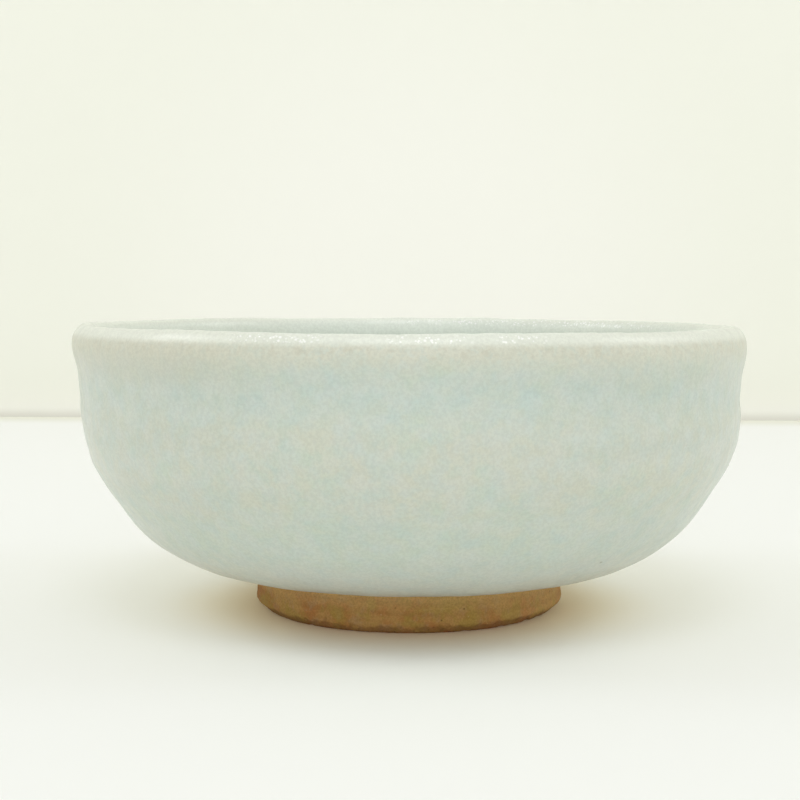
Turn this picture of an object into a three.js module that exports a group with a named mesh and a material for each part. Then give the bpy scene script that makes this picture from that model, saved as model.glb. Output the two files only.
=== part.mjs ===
// A wheel-thrown flat tea bowl: a clay wall and floor on a turned foot ring, with one coat of
// celadon glaze outside and over the lip, and one coat inside. Millimetres, +Z up, with the origin
// in the middle of the circle that the bowl stands on.
import * as THREE from "three";

// Overall sizes, over the glaze.
const HEIGHT = 59.5;
const LIP_RADIUS = 70;

// Lip: the widest ring lies below the crest, and the section there is rounded.
const LIP_THICKNESS = 4.8;
const LIP_CROWN = 4.1;

// Neck: the waist under the lip, where the wall stands upright.
const NECK_INSET = 1.3;
const NECK_DROP = 16.3;

// Belly: a gently rising band round the foot, then one full curve up to the neck.
const BAND_WIDTH = 8.2;
const BAND_RISE = 0.45;
const BELLY_BOTTOM_PULL = 10.7;
const BELLY_TOP_PULL = 16.7;
const FLARE_BOTTOM_PULL = 5;
const FLARE_TOP_PULL = 3;

// Wall over both coats, thickest where it turns into the floor, and the clay in the floor's middle.
const WALL_AT_NECK = 5;
const WALL_AT_FLOOR = 6.6;
const FLOOR_CLAY = 4.9;
const GLAZE = 0.7;

// Foot ring.
const FOOT_RADIUS = 32.2;
const FOOT_HEIGHT = 9.5;
const FOOT_BEVEL_WIDTH = 1.2;
const FOOT_BEVEL_HEIGHT = 1.6;
const FOOT_WALL_AT_GROUND = 5;
const FOOT_WALL_AT_TOP = 9;
const FOOT_INNER_BEVEL = 0.6;

// Clearances between neighbouring pieces.
const BOND_LINE = 0.05;
const GLAZE_TO_FOOT = 0.3;
const COAT_SEAM = 0.3;

// Facets round the axis, and steps along each stretch of the section.
const SIDES = 60;
const BAND_STEPS = 1;
const BELLY_STEPS = 8;
const FLARE_STEPS = 3;
const CROWN_STEPS = 3;
const FLOOR_STEPS = 3;

const CLAY = { color: 0xa5824f, roughness: 0.9, metalness: 0 };
const OUTER_CELADON = { color: 0xc5cebf, roughness: 0.35, metalness: 0 };
const INNER_CELADON = { color: 0xbdcbc1, roughness: 0.35, metalness: 0 };

const at = (radius, height) => new THREE.Vector2(radius, height);

// Sections run up the outside, over the lip and down the inside, so that clay lies on the left of
// the path and air on its right.
function airSide(tangent) {
  return at(tangent.y, -tangent.x);
}

function trace(curve, steps) {
  return Array.from({ length: steps + 1 }, (_, step) => {
    const t = step / steps;
    return { point: curve.getPoint(t), normal: airSide(curve.getTangent(t)) };
  });
}

// One path from several stretches that meet end to end with the same tangent.
function join(...stretches) {
  return stretches.flatMap((stretch, index) => (index === 0 ? stretch : stretch.slice(1)));
}

function sunk(section, depth) {
  return section.map(({ point, normal }) => point.clone().addScaledVector(normal, -depth));
}

// The inside of a wall whose thickness changes evenly along its section, walked the other way.
function opposite(section, firstThickness, lastThickness) {
  const thickness = (index) =>
    THREE.MathUtils.lerp(firstThickness, lastThickness, index / (section.length - 1));
  return section
    .map(({ point, normal }, index) => ({
      point: point.clone().addScaledVector(normal, -thickness(index)),
      normal: normal.clone().negate(),
    }))
    .reverse();
}

// Section of the glazed outside, from the foot to the inner edge of the lip.
const coatDepth = GLAZE + BOND_LINE;
const undersideHeight = FOOT_HEIGHT - coatDepth;
const neckHeight = HEIGHT - NECK_DROP;
const neckRadius = LIP_RADIUS - NECK_INSET;
const lipHeight = HEIGHT - LIP_CROWN;
const crestRadius = LIP_RADIUS - LIP_THICKNESS / 2;

const coatEdge = at(FOOT_RADIUS + GLAZE_TO_FOOT, undersideHeight);
const bandEdge = at(coatEdge.x + BAND_WIDTH, undersideHeight + BAND_RISE);
const neck = at(neckRadius, neckHeight);
const lip = at(LIP_RADIUS, lipHeight);

const bandDirection = bandEdge.clone().sub(coatEdge).normalize();
const bellyCurve = new THREE.CubicBezierCurve(
  bandEdge,
  bandEdge.clone().addScaledVector(bandDirection, BELLY_BOTTOM_PULL),
  at(neckRadius, neckHeight - BELLY_TOP_PULL),
  neck,
);
const flareCurve = new THREE.CubicBezierCurve(
  neck,
  at(neckRadius, neckHeight + FLARE_BOTTOM_PULL),
  at(LIP_RADIUS, lipHeight - FLARE_TOP_PULL),
  lip,
);
const crownCurve = new THREE.EllipseCurve(crestRadius, lipHeight, LIP_THICKNESS / 2, LIP_CROWN, 0, Math.PI);

const band = trace(new THREE.LineCurve(coatEdge, bandEdge), BAND_STEPS);
const belly = trace(bellyCurve, BELLY_STEPS);
const flare = trace(flareCurve, FLARE_STEPS);
const crown = trace(crownCurve, 2 * CROWN_STEPS);
const outside = join(band, belly, flare, crown);

// Section of the glazed inside, from the seam under the lip to the middle of the floor.
const seam = at(LIP_RADIUS - LIP_THICKNESS, lipHeight - COAT_SEAM);
const innerNeck = at(neckRadius - WALL_AT_NECK, neckHeight);
const innerFlareCurve = new THREE.CubicBezierCurve(
  seam,
  at(seam.x, lipHeight - FLARE_TOP_PULL),
  at(innerNeck.x, neckHeight + FLARE_BOTTOM_PULL),
  innerNeck,
);
const innerBelly = opposite(belly, WALL_AT_FLOOR, WALL_AT_NECK);
const floorEdge = innerBelly.at(-1);
const floorHeight = FOOT_HEIGHT + FLOOR_CLAY + coatDepth;
const floorCurve = new THREE.CubicBezierCurve(
  floorEdge.point,
  floorEdge.point.clone().addScaledVector(bandDirection, -floorEdge.point.x / 3),
  at(floorEdge.point.x / 3, floorHeight),
  at(0, floorHeight),
);
const inside = join(
  trace(innerFlareCurve, FLARE_STEPS),
  innerBelly,
  trace(floorCurve, FLOOR_STEPS),
);

// A closed ring or a solid that reaches the axis, turned from its section.
function turned(name, section, finish) {
  const geometry = new THREE.LatheGeometry(section, SIDES).rotateX(Math.PI / 2);
  const mesh = new THREE.Mesh(geometry, new THREE.MeshStandardMaterial(finish));
  mesh.name = name;
  return mesh;
}

function outerGlaze() {
  const surface = sunk(outside, 0);
  const back = sunk(outside, GLAZE).reverse();
  return turned("outer_glaze", [...surface, ...back, surface[0]], OUTER_CELADON);
}

function innerGlaze() {
  const back = sunk(inside, GLAZE).reverse();
  return turned("inner_glaze", [...back, ...sunk(inside, 0)], INNER_CELADON);
}

function clayBody() {
  const wall = [...sunk(outside, coatDepth), ...sunk(inside, coatDepth)];
  const seat = [at(0, FOOT_HEIGHT), at(FOOT_RADIUS, FOOT_HEIGHT)];
  return turned("clay_body", [...seat, ...wall], CLAY);
}

function footRing() {
  const groundOuter = FOOT_RADIUS - FOOT_BEVEL_WIDTH;
  const groundInner = groundOuter - FOOT_WALL_AT_GROUND;
  const section = [
    at(groundOuter, 0),
    at(FOOT_RADIUS, FOOT_BEVEL_HEIGHT),
    at(FOOT_RADIUS, FOOT_HEIGHT),
    at(FOOT_RADIUS - FOOT_WALL_AT_TOP, FOOT_HEIGHT),
    at(groundInner - FOOT_INNER_BEVEL, FOOT_INNER_BEVEL),
    at(groundInner, 0),
  ];
  return turned("foot_ring", [...section, section[0]], CLAY);
}

const bowl = new THREE.Group();
bowl.add(clayBody(), footRing(), outerGlaze(), innerGlaze());

export default bowl;
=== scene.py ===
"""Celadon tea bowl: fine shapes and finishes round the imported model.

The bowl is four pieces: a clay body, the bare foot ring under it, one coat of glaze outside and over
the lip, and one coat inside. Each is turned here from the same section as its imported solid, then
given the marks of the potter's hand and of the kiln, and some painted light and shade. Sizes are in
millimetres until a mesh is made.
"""

from __future__ import annotations

import logging
import math
from dataclasses import dataclass
from enum import Enum
from typing import ClassVar, Optional, Sequence, Union

import bpy
import numpy as np
from mathutils import Euler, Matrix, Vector

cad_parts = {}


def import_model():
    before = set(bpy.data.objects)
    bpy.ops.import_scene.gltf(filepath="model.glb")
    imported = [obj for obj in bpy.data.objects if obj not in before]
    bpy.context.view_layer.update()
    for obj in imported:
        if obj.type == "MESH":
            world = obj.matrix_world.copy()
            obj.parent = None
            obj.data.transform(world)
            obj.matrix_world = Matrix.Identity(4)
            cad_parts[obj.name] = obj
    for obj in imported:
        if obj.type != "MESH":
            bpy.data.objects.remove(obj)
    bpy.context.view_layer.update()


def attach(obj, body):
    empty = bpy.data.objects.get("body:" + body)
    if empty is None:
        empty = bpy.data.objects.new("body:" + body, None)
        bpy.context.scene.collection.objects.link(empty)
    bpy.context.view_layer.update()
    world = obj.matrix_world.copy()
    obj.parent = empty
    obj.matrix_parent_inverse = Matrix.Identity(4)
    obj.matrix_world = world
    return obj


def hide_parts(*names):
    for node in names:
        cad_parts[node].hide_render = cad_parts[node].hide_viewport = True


LOG = logging.getLogger("tea_bowl")

MM = 0.001
TURN = 2 * math.pi
BODY = "root"
SHARP_CORNER = math.radians(50)

Colour = tuple[float, float, float]
Span = tuple[float, float]
Socket = bpy.types.NodeSocket
Value = Union[float, Sequence[float], Socket]

WHITE: Colour = (1.0, 1.0, 1.0)


def paint(red: int, green: int, blue: int) -> Colour:
    """Turns a colour as seen on a screen into light.

    Args:
        red: Red from 0 to 255.
        green: Green from 0 to 255.
        blue: Blue from 0 to 255.

    Returns:
        The three shares of light that the colour reflects.
    """
    return tuple(
        part / 12.92 if part <= 0.04045 else ((part + 0.055) / 1.055) ** 2.4
        for part in (red / 255, green / 255, blue / 255)
    )


def ease(low: float, high: float, value: np.ndarray) -> np.ndarray:
    """Rises smoothly from 0 to 1.

    Args:
        low: Where the rise starts.
        high: Where the rise ends.
        value: The values to place on the rise.

    Returns:
        0 up to low, 1 from high on, and a soft step between them.
    """
    share = np.clip((value - low) / (high - low), 0, 1)
    return share * share * (3 - 2 * share)


@dataclass(frozen=True)
class Section:
    """A line in the plane through the axis: points (radius, height) and the normals to the air."""

    points: np.ndarray
    normals: np.ndarray

    def sunk(self, depth: float | np.ndarray) -> Section:
        """The same line moved into the clay by a depth."""
        return Section(self.points - self.normals * np.reshape(depth, (-1, 1)), self.normals)

    def then(self, other: Section) -> Section:
        """This line, followed by one that starts where it ends."""
        points, normals = [self.points, other.points[1:]], [self.normals, other.normals[1:]]
        return Section(np.vstack(points), np.vstack(normals))

    def faced_back(self) -> Section:
        """The same line walked the other way, with the air on its other side."""
        return Section(self.points[::-1], -self.normals[::-1])

    def thinned(self, step: int) -> Section:
        """Every few points of the line, and always its last, for a side that stays hidden."""
        kept = [*range(0, len(self.points) - 1, step), len(self.points) - 1]
        return Section(self.points[kept], self.normals[kept])

    def along(self) -> np.ndarray:
        """The length of the line up to each of its points."""
        steps = np.linalg.norm(np.diff(self.points, axis=0), axis=1)
        return np.concatenate([[0], np.cumsum(steps)])


def with_normals(points: np.ndarray, tangents: np.ndarray) -> Section:
    """Builds a section that has the clay on the left of its path.

    Args:
        points: The points of the path.
        tangents: The direction of the path at each point, of any length.

    Returns:
        The section, with unit normals on the right of the path.
    """
    unit = tangents / np.linalg.norm(tangents, axis=1, keepdims=True)
    return Section(points, np.column_stack([unit[:, 1], -unit[:, 0]]))


def curve(corners: Sequence[Sequence[float]], steps: int) -> Section:
    """Traces a cubic curve.

    Args:
        corners: The start, the two pulls and the end, each as (radius, height).
        steps: How many steps the trace takes.

    Returns:
        The traced section.
    """
    a, b, c, d = (np.asarray(corner, float) for corner in corners)
    t = np.linspace(0, 1, steps + 1)[:, None]
    s = 1 - t
    points = s**3 * a + 3 * s**2 * t * b + 3 * s * t**2 * c + t**3 * d
    return with_normals(points, s**2 * (b - a) + 2 * s * t * (c - b) + t**2 * (d - c))


@dataclass(frozen=True)
class BowlSection:
    """Sizes of the whole bowl over its glaze, in millimetres, and the lines that they give."""

    height: float = 59.5
    lip_radius: float = 70.0
    lip_thickness: float = 4.8
    lip_crown: float = 4.1
    neck_inset: float = 1.3
    neck_drop: float = 16.3
    band_width: float = 8.2
    band_rise: float = 0.45
    belly_bottom_pull: float = 10.7
    belly_top_pull: float = 16.7
    flare_bottom_pull: float = 5.0
    flare_top_pull: float = 3.0
    wall_at_neck: float = 5.0
    wall_at_floor: float = 6.6
    floor_clay: float = 4.9
    glaze: float = 0.7
    bond_line: float = 0.05
    foot_radius: float = 32.2
    foot_height: float = 9.5
    glaze_to_foot: float = 0.3
    band_steps: int = 16
    belly_steps: int = 64
    flare_steps: int = 16
    crown_steps: int = 30
    floor_steps: int = 64

    @property
    def coat_depth(self) -> float:
        """From the glaze's surface to the clay."""
        return self.glaze + self.bond_line

    @property
    def lip_height(self) -> float:
        """Where the lip is widest."""
        return self.height - self.lip_crown

    @property
    def neck(self) -> np.ndarray:
        """The waist under the lip."""
        return np.array([self.lip_radius - self.neck_inset, self.height - self.neck_drop])

    @property
    def band_start(self) -> np.ndarray:
        """Where the glaze starts, beside the foot."""
        return np.array([self.foot_radius + self.glaze_to_foot, self.foot_height - self.coat_depth])

    @property
    def band_run(self) -> np.ndarray:
        """The gently rising band round the foot, as one step from its inner to its outer edge."""
        return np.array([self.band_width, self.band_rise])

    def belly(self) -> Section:
        """The full curve of the belly.

        Returns:
            The line from the band round the foot up to the neck.
        """
        start = self.band_start + self.band_run
        pull = self.band_run / np.linalg.norm(self.band_run) * self.belly_bottom_pull
        return curve([start, start + pull, self.neck - (0, self.belly_top_pull), self.neck], self.belly_steps)

    def outside(self) -> Section:
        """The glazed outside.

        Returns:
            The line from the foot, up the belly and neck and over the crown, to the lip's inner edge.
        """
        lip = np.array([self.lip_radius, self.lip_height])
        start, run = self.band_start, self.band_run
        end = start + run
        band = curve([start, start + run / 3, end - run / 3, end], self.band_steps)
        pulls = [self.neck + (0, self.flare_bottom_pull), lip - (0, self.flare_top_pull)]
        flare = curve([self.neck, *pulls, lip], self.flare_steps)
        angle = np.linspace(0, math.pi, self.crown_steps + 1)
        half = self.lip_thickness / 2
        crown = with_normals(
            lip - (half, 0) + np.column_stack([half * np.cos(angle), self.lip_crown * np.sin(angle)]),
            np.column_stack([-half * np.sin(angle), self.lip_crown * np.cos(angle)]),
        )
        return band.then(self.belly()).then(flare).then(crown)

    def inside(self) -> Section:
        """The glazed inside.

        Returns:
            The line from the lip's inner edge, down the wall, to the middle of the floor.
        """
        seam = np.array([self.lip_radius - self.lip_thickness, self.lip_height])
        neck = self.neck - (self.wall_at_neck, 0)
        pulls = [seam - (0, self.flare_top_pull), neck + (0, self.flare_bottom_pull)]
        flare = curve([seam, *pulls, neck], self.flare_steps)
        thickness = np.linspace(self.wall_at_floor, self.wall_at_neck, self.belly_steps + 1)
        wall = self.belly().sunk(thickness).faced_back()
        edge = wall.points[-1]
        floor_height = self.foot_height + self.floor_clay + self.coat_depth
        pull = self.band_run / np.linalg.norm(self.band_run) * edge[0] / 3
        floor = curve([edge, edge - pull, (edge[0] / 3, floor_height), (0, floor_height)], self.floor_steps)
        return flare.then(wall).then(floor)


@dataclass(frozen=True)
class SoftWaves:
    """Smooth noise without direction: a sum of waves whose headings come from a seed."""

    seed: int
    size: float
    depth: float = 1.0
    waves: int = 36
    lengths: Span = (0.6, 1.4)
    limit: float = 2.0
    level: float = 1.4

    def at(self, places: np.ndarray) -> np.ndarray:
        """The noise at some places.

        Args:
            places: An array of points in millimetres, whose last axis has length 3.

        Returns:
            Values of about minus to plus the depth, with the places' shape less its last axis.
        """
        chance = np.random.default_rng(self.seed)
        heading = chance.normal(size=(self.waves, 3))
        heading /= np.linalg.norm(heading, axis=1, keepdims=True)
        heading *= (TURN / self.size) * chance.uniform(*self.lengths, (self.waves, 1))
        phase = chance.uniform(0, TURN, self.waves)
        total = np.zeros(places.shape[:-1])
        for direction, start in zip(heading, phase):
            total += np.cos(places @ direction + start)
        return self.depth * (np.clip(total / math.sqrt(self.waves), -self.limit, self.limit) / self.level)


def soft_line(knots: Sequence[Span], at: np.ndarray) -> np.ndarray:
    """Reads a line that runs softly past its knots.

    Args:
        knots: Places along the line and its values there, in rising order.
        at: Where to read it, between -3 and 65.

    Returns:
        The line's values there.
    """
    step, reach, softness = 0.25, 2.5, 1.1
    fine = np.arange(-10, 72, step)
    heights, values = np.array(knots).T
    weights = np.exp(-((np.arange(-reach, reach + step, step) / softness) ** 2))
    line = np.convolve(np.interp(fine, heights, values), weights / weights.sum(), "same")
    return np.interp(at, fine, line)


@dataclass(frozen=True)
class PotterHand:
    """How the thrown wall strays from a true turned form, in millimetres and radians.

    Sway and swell are lines of (height, value). Each wave of the rim is (count, size, start).
    """

    sway: tuple[Span, ...] = (
        (9.0, -0.25), (12.6, -0.1), (18.5, -0.13), (21.0, 0.05), (25.0, -0.2), (30.0, -0.22),
        (35.0, -0.06), (38.5, -0.04), (42.0, -0.18), (45.0, -0.38), (52.5, -0.38), (55.5, -0.52),
    )
    swell: tuple[Span, ...] = (
        (9.0, 0.05), (11.0, 0.4), (12.6, 0.7), (14.2, 1.05), (17.0, 1.15), (18.5, 0.9), (20.3, 0.55),
        (22.2, 0.35), (25.0, 0.0), (28.0, 0.1), (32.3, 0.3), (36.0, 0.1), (40.0, 0.0), (44.4, -0.15),
        (48.9, -0.3), (50.7, -0.3), (52.5, -0.14), (55.0, 0.08), (57.5, -0.1), (59.5, -0.25),
    )
    full_reach: float = 70.0
    oval: float = 0.18
    oval_start: float = 0.9
    oval_from: Span = (9.5, 26.0)
    rim_waves: tuple[tuple[int, float, float], ...] = (
        (0, 0.04, 0.0), (2, 0.04, 0.6), (3, 0.04, 2.2), (7, 0.1, 2.7),
    )
    rim_from: Span = (38.0, 59.5)
    lumps: SoftWaves = SoftWaves(11, 17.0, 0.09)
    dimples: SoftWaves = SoftWaves(12, 4.5, 0.022)
    lip_lumps: SoftWaves = SoftWaves(13, 2.6, 0.05)
    lip_from: Span = (54.0, 58.0)
    ring_pitch: float = 5.6
    ring_depth: float = 0.045
    ring_drift: SoftWaves = SoftWaves(14, 60.0, 1.5)
    rings_from: Span = (10.0, 18.0)
    rings_to: Span = (48.0, 54.0)

    def bend(self, places: np.ndarray) -> np.ndarray:
        """Moves places as the soft wall moved, so that nested pieces stay nested.

        Args:
            places: Points in millimetres, of the true form.

        Returns:
            The same points on the thrown form.
        """
        x, y, z = (places[..., axis] for axis in range(3))
        angle = np.arctan2(y, x)
        oval = self.oval * np.cos(2 * angle + self.oval_start) * ease(*self.oval_from, z)
        growth = (soft_line(self.swell, z) + oval) * (np.hypot(x, y) / self.full_reach)
        lift = sum(size * np.cos(count * angle + start) for count, size, start in self.rim_waves)
        moved = [
            x + growth * np.cos(angle) + soft_line(self.sway, z),
            y + growth * np.sin(angle),
            z + lift * ease(*self.rim_from, z),
        ]
        return np.stack(moved, axis=-1)

    def relief(self, places: np.ndarray) -> np.ndarray:
        """How far the glaze's surface stands out of the true form, the same for both coats.

        Args:
            places: Points in millimetres on a coat's surface.

        Returns:
            The rise along the normal at each point, in millimetres.
        """
        z = places[..., 2]
        angle = np.arctan2(places[..., 1], places[..., 0])
        lip = self.lip_lumps.at(places) * ease(*self.lip_from, z)
        turn = TURN * z / self.ring_pitch + angle + self.ring_drift.at(places)
        rings = self.ring_depth * np.sin(turn) * ease(*self.rings_from, z) * (1 - ease(*self.rings_to, z))
        return self.lumps.at(places) + self.dimples.at(places) + lip + rings


def swept(line: np.ndarray, around: int) -> np.ndarray:
    """Carries a section's points or normals round the axis.

    Args:
        line: Pairs (radius, height).
        around: How many places round the axis they are set down at.

    Returns:
        An array (around, pairs of the line, 3).
    """
    angle = np.arange(around)[:, None] * TURN / around
    radius, height = line[None, :, 0], line[None, :, 1]
    parts = [radius * np.cos(angle), radius * np.sin(angle), np.broadcast_to(height, (around, len(line)))]
    return np.stack(parts, axis=-1)


def closed_mesh(name: str, rows: np.ndarray, reaches_axis: bool) -> bpy.types.Object:
    """Makes a closed mesh from a section carried round the axis.

    Args:
        name: The piece's name.
        rows: Points in millimetres, (around, points of the section, 3).
        reaches_axis: True where the section starts and ends on the axis, and False where it is a loop.

    Returns:
        The new object, smooth but for its sharp corners, linked to the scene.
    """
    ring = rows[:, 1:-1] if reaches_axis else rows
    points = ring.reshape(-1, 3)
    index = np.arange(len(points)).reshape(ring.shape[:2])
    beside = np.roll(index, -1, axis=0)
    near, far = (index, beside) if reaches_axis else (
        np.hstack([index, index[:, :1]]), np.hstack([beside, beside[:, :1]])
    )
    quads = np.stack([near[:, :-1], far[:, :-1], far[:, 1:], near[:, 1:]], axis=-1)
    faces = quads.reshape(-1, 4).tolist()
    if reaches_axis:
        tips = [rows[:, end].mean(axis=0) for end in (0, -1)]
        fans = (beside[:, 0], index[:, 0]), (index[:, -1], beside[:, -1])
        for tip, fan in enumerate(fans, start=len(points)):
            faces += np.stack([np.full(len(rows), tip), *fan], axis=-1).tolist()
        points = np.vstack([points, *tips])
    mesh = bpy.data.meshes.new(name)
    mesh.from_pydata((points * MM).tolist(), [], faces)
    mesh.shade_smooth()
    mesh.set_sharp_from_angle(angle=SHARP_CORNER)
    piece = bpy.data.objects.new(name, mesh)
    bpy.context.scene.collection.objects.link(piece)
    return piece


class Bench:
    """Adds nodes to one node tree and joins them."""

    COLUMNS: ClassVar[int] = 12
    SPACING: ClassVar[tuple[int, int]] = (190, 260)

    def __init__(self, tree: bpy.types.NodeTree) -> None:
        """Takes the tree to work on."""
        self.tree = tree

    def feed(self, socket: Socket, value: Value) -> None:
        """Joins a socket to another one, or sets its own value.

        Args:
            socket: The input to feed.
            value: A socket to join it to, or a plain value.
        """
        if isinstance(value, Socket):
            self.tree.links.new(value, socket)
        elif isinstance(value, (int, float)):
            socket.default_value = value
        else:
            numbers = tuple(value)
            wanted = len(socket.default_value)
            socket.default_value = numbers + (1.0,) * (wanted - len(numbers))

    def add(self, kind: str, inputs: dict[Union[str, int], Value], **settings: object) -> bpy.types.Node:
        """Adds one node.

        Args:
            kind: Blender's name for the node's type.
            inputs: What feeds its inputs, by name or by number.
            **settings: Its other settings.

        Returns:
            The new node.
        """
        node = self.tree.nodes.new(kind)
        row, column = divmod(len(self.tree.nodes), self.COLUMNS)
        node.location = (column * self.SPACING[0], -row * self.SPACING[1])
        for name, setting in settings.items():
            setattr(node, name, setting)
        for name, value in inputs.items():
            self.feed(node.inputs[name], value)
        return node

    def math(self, operation: str, *values: Value) -> Socket:
        """One Math node, fed with these values in order."""
        return self.add("ShaderNodeMath", dict(enumerate(values)), operation=operation).outputs[0]

    def times(self, first: Value, second: Value) -> Socket:
        """The product of two values."""
        return self.math("MULTIPLY", first, second)

    def hypot(self, along: Value, across: Value) -> Socket:
        """The length of a line with these two parts at a right angle."""
        squares = [self.math("POWER", part, 2.0) for part in (along, across)]
        return self.math("SQRT", self.math("ADD", *squares))

    def heaped(self, ground: Value, *layers: tuple[Value, float]) -> Socket:
        """Heaps layers on a ground value.

        Args:
            ground: The value to start from.
            *layers: What is added to it, each as a value and its weight.

        Returns:
            The sum.
        """
        for value, weight in layers:
            ground = self.math("MULTIPLY_ADD", value, weight, ground)
        return ground

    def parts(self, place: Value) -> bpy.types.bpy_prop_collection:
        """A place's X, Y and Z."""
        return self.add("ShaderNodeSeparateXYZ", {0: place}).outputs

    def vector(self, operation: str, inputs: dict[Union[str, int], Value]) -> bpy.types.bpy_prop_collection:
        """The outputs of one Vector Math node."""
        return self.add("ShaderNodeVectorMath", inputs, operation=operation).outputs

    def in_mm(self, place: Value) -> Socket:
        """The same place counted in millimetres."""
        return self.vector("SCALE", {0: place, "Scale": 1 / MM})[0]

    def mix(self, share: Value, first: Value, second: Value, how: str = "MIX") -> Socket:
        """Mixes two colours.

        Args:
            share: How much of the second colour there is.
            first: The colour at 0.
            second: The colour at 1.
            how: The way of mixing.

        Returns:
            The mixed colour.
        """
        inputs = {0: share, 6: first, 7: second}
        return self.add("ShaderNodeMix", inputs, data_type="RGBA", blend_type=how).outputs[2]

    def spread(
        self, value: Value, low: Value, high: Value, start: Value = 0.0, end: Value = 1.0
    ) -> Socket:
        """Spreads a range of values smoothly over another.

        Args:
            value: The value to read.
            low: The value that gives start.
            high: The value that gives end.
            start: The result at low.
            end: The result at high.

        Returns:
            The result, held within start and end.
        """
        inputs = {0: value, 1: low, 2: high, 3: start, 4: end}
        return self.add("ShaderNodeMapRange", inputs, interpolation_type="SMOOTHSTEP").outputs[0]

    def levels(self, mask: Value, low: float, high: float) -> Socket:
        """A mask spread from 0 to 1 over two other levels."""
        return self.spread(mask, 0.0, 1.0, low, high)


class GroupBench(Bench):
    """A bench on an effect's own node group, which reads a place and the effect's numbers."""

    def __init__(self, effect: Effect) -> None:
        """Opens the group.

        Args:
            effect: The effect, whose values are the group's usual ones.
        """
        super().__init__(bpy.data.node_groups.new(effect.title, "ShaderNodeTree"))
        new_socket = self.tree.interface.new_socket
        new_socket("Place", in_out="INPUT", socket_type="NodeSocketVector")
        for title, usual in effect.inputs().items():
            new_socket(title, in_out="INPUT", socket_type="NodeSocketFloat").default_value = usual
        for title in effect.outputs:
            new_socket(title, in_out="OUTPUT", socket_type="NodeSocketFloat")
        given = self.add("NodeGroupInput", {}).outputs
        self.numbers = [given[title] for title in effect.inputs()]
        self.result = self.add("NodeGroupOutput", {}).inputs
        self.place = self.in_mm(given["Place"])

    def cloud(
        self, size: Value, detail: float, rough: float = 0.5, shift: Optional[Value] = None
    ) -> Socket:
        """Plain noise.

        Args:
            size: The size of its features in millimetres.
            detail: How many finer layers it has.
            rough: How strong the finer layers are.
            shift: How far it is moved, so that clouds of one size differ.

        Returns:
            Its value, about 0.5 on average.
        """
        place = self.place if shift is None else self.vector("ADD", {0: self.place, 1: shift})[0]
        scale = self.math("DIVIDE", 1.0, size) if isinstance(size, Socket) else 1.0 / size
        inputs = {"Vector": place, "Scale": scale, "Detail": detail, "Roughness": rough}
        return self.add("ShaderNodeTexNoise", inputs).outputs[0]

    def put_out(self, *values: Socket) -> None:
        """Joins the group's outputs, in their order."""
        for socket, value in zip(self.result, values):
            self.feed(socket, value)


class Mark:
    """Anything that says where a finish changes."""

    def mask(self, bench: FinishBench) -> Socket:
        """Where the mark is: 1 on it, and 0 off it."""
        raise NotImplementedError


@dataclass(frozen=True)
class Effect(Mark):
    """An effect with a node group of its own, built once, whose inputs are named as its fields."""

    title: ClassVar[str]
    outputs: ClassVar[tuple[str, ...]] = ("Mask", "Height")

    def inputs(self) -> dict[str, float]:
        """Its values, by the names of the group's inputs."""
        return {name.replace("_", " ").capitalize(): value for name, value in vars(self).items()}

    def lay(self, group: GroupBench) -> None:
        """Lays the nodes of its group."""
        raise NotImplementedError

    def placed(self, bench: Bench, place: Socket) -> bpy.types.bpy_prop_collection:
        """Puts the effect into a material.

        Args:
            bench: The bench of the material.
            place: The place that the effect reads.

        Returns:
            The outputs of its node.
        """
        if self.title not in bpy.data.node_groups:
            self.lay(GroupBench(self))
        tree = bpy.data.node_groups[self.title]
        return bench.add("ShaderNodeGroup", {"Place": place, **self.inputs()}, node_tree=tree).outputs

    def mask(self, bench: FinishBench) -> Socket:
        """Where the effect is."""
        return self.placed(bench, bench.place)["Mask"]


@dataclass(frozen=True)
class Band(Effect):
    """A level band between two heights, whose edges wander."""

    low: float
    high: float
    fade: float
    wander: float
    wander_size: float
    title: ClassVar[str] = "Height band"
    outputs: ClassVar[tuple[str, ...]] = ("Mask",)
    swing: ClassVar[float] = 4.0

    def lay(self, group: GroupBench) -> None:
        """Lays a mask that rises at the low edge and falls at the high one.

        Args:
            group: The bench of its group.
        """
        low, high, fade, wander, wander_size = group.numbers
        drift = group.math("SUBTRACT", group.cloud(wander_size, detail=3.0), 0.5)
        height = group.parts(group.place)["Z"]
        level = group.math("MULTIPLY_ADD", drift, group.times(wander, self.swing), height)
        low_edge, high_edge = (
            [group.math(how, edge, fade) for how in ("SUBTRACT", "ADD")] for edge in (low, high)
        )
        group.put_out(group.times(group.spread(level, *low_edge), group.spread(level, *high_edge, 1.0, 0.0)))


@dataclass(frozen=True)
class Patches(Effect):
    """Soft patches of one size, cut from noise between two levels."""

    size: float
    low: float
    high: float
    shift: float = 0.0
    title: ClassVar[str] = "Mottle"
    outputs: ClassVar[tuple[str, ...]] = ("Mask",)

    def lay(self, group: GroupBench) -> None:
        """Lays a mask that is cut from noise.

        Args:
            group: The bench of its group.
        """
        size, low, high, shift = group.numbers
        cloud = group.cloud(size, detail=4.0, rough=0.58, shift=shift)
        group.put_out(group.spread(cloud, low, high))


@dataclass(frozen=True)
class Grain(Effect):
    """Fine grain, as a mask and as a height about zero."""

    size: float
    title: ClassVar[str] = "Grain"
    cut: ClassVar[Span] = (0.3, 0.7)

    def lay(self, group: GroupBench) -> None:
        """Lays rough noise.

        Args:
            group: The bench of its group.
        """
        speck = group.cloud(group.numbers[0], detail=2.0, rough=0.7)
        group.put_out(group.spread(speck, *self.cut), group.math("SUBTRACT", speck, 0.5))


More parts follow.
